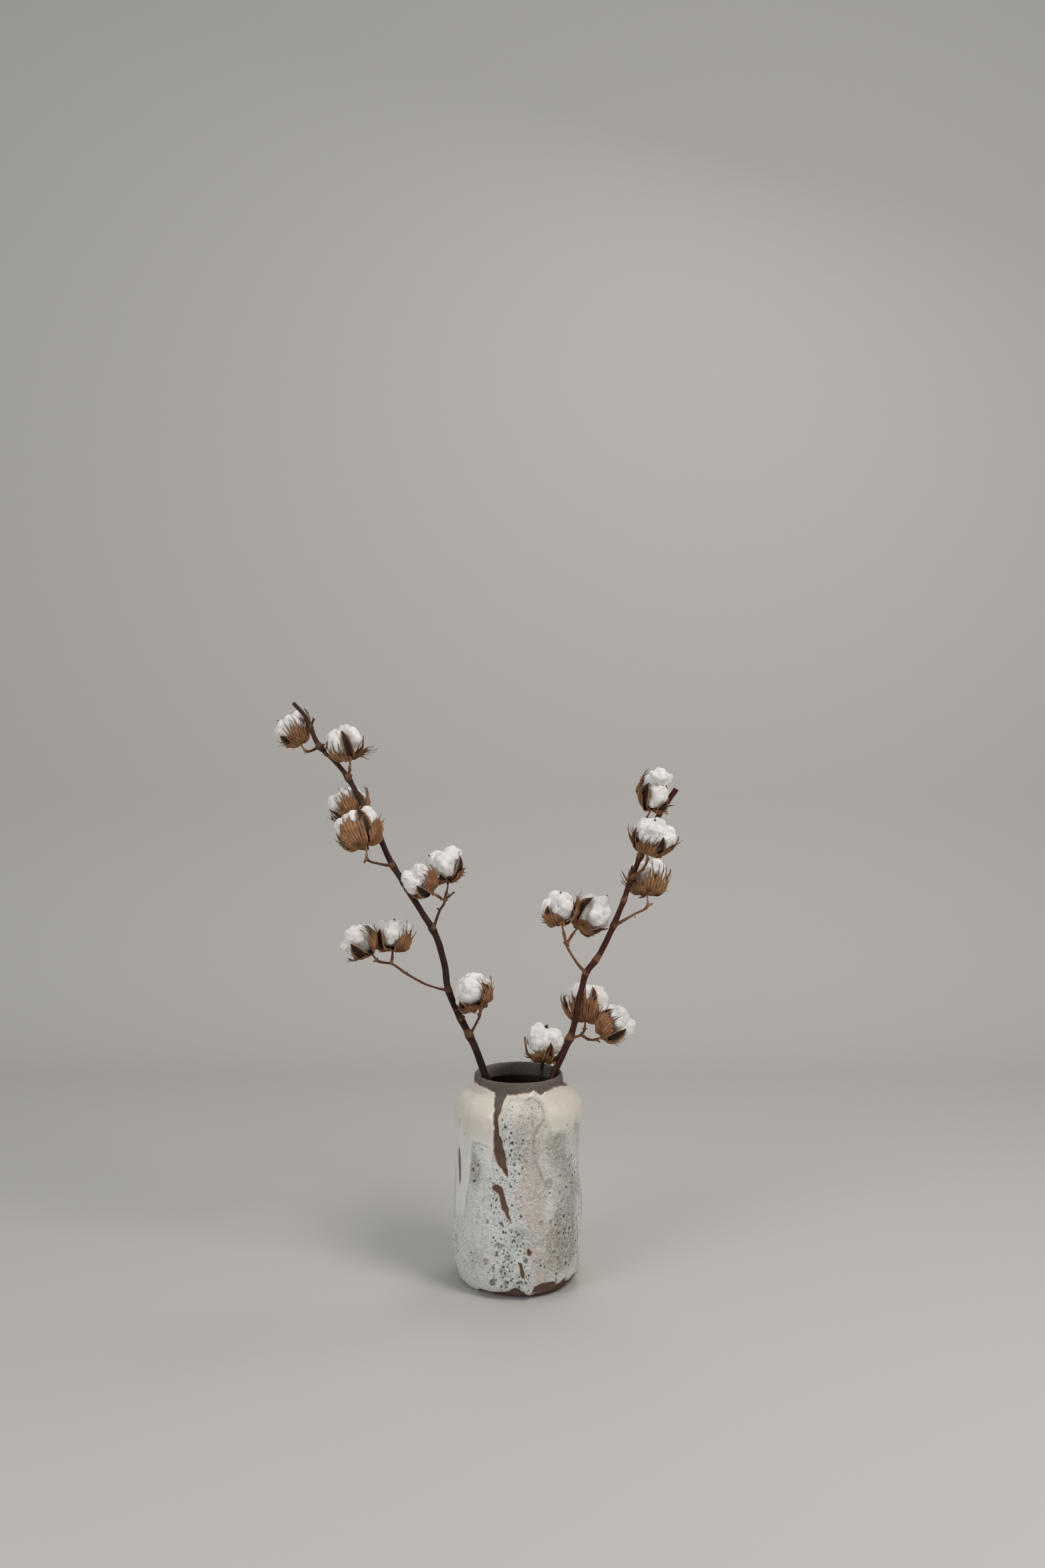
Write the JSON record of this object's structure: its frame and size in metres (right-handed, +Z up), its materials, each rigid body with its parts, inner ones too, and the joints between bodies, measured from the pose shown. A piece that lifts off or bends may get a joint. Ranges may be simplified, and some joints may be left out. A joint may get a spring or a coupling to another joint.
{
  "type": "cotton stem bunch in a vase",
  "caption": "Dried cotton stems with open fluffy bolls in brown husks, standing in a wide-mouthed stoneware vase with a thick cratered white glaze.",
  "frame": {"origin": "centre of the vase's flat foot, on the surface it stands on", "axes": "+Z up along the vase's axis, +X to the right of the long way the bunch spreads, -Y towards the viewer"},
  "size_m": [0.5058, 0.161, 0.7269],
  "materials": {
    "stoneware": "thick cratered white glaze over dark speckled clay",
    "dark_bark": "dry near-black brown bark",
    "red_bark": "dry reddish brown bark",
    "dry_husk": "papery dry burr and bracts",
    "cotton_lint": "loose white lint"
  },
  "bodies": {
    "root": {"vase": "stoneware", "left_stem": "dark_bark", "right_stem": "red_bark", "short_stem": "dark_bark", "boll_01_husk": "dry_husk", "boll_01_cotton": "cotton_lint", "boll_02_husk": "dry_husk", "boll_02_cotton": "cotton_lint", "boll_03_husk": "dry_husk", "boll_03_cotton": "cotton_lint", "boll_04_husk": "dry_husk", "boll_04_cotton": "cotton_lint", "boll_05_husk": "dry_husk", "boll_05_cotton": "cotton_lint", "boll_06_husk": "dry_husk", "boll_06_cotton": "cotton_lint", "boll_07_husk": "dry_husk", "boll_07_cotton": "cotton_lint", "boll_08_husk": "dry_husk", "boll_08_cotton": "cotton_lint", "boll_09_husk": "dry_husk", "boll_09_cotton": "cotton_lint", "boll_10_husk": "dry_husk", "boll_10_cotton": "cotton_lint", "boll_11_husk": "dry_husk", "boll_11_cotton": "cotton_lint", "boll_12_husk": "dry_husk", "boll_12_cotton": "cotton_lint", "boll_13_husk": "dry_husk", "boll_13_cotton": "cotton_lint", "boll_14_husk": "dry_husk", "boll_14_cotton": "cotton_lint", "boll_15_husk": "dry_husk", "boll_15_cotton": "cotton_lint", "boll_16_husk": "dry_husk", "boll_16_cotton": "cotton_lint", "boll_17_husk": "dry_husk", "boll_17_cotton": "cotton_lint"}
  },
  "joints": []
}
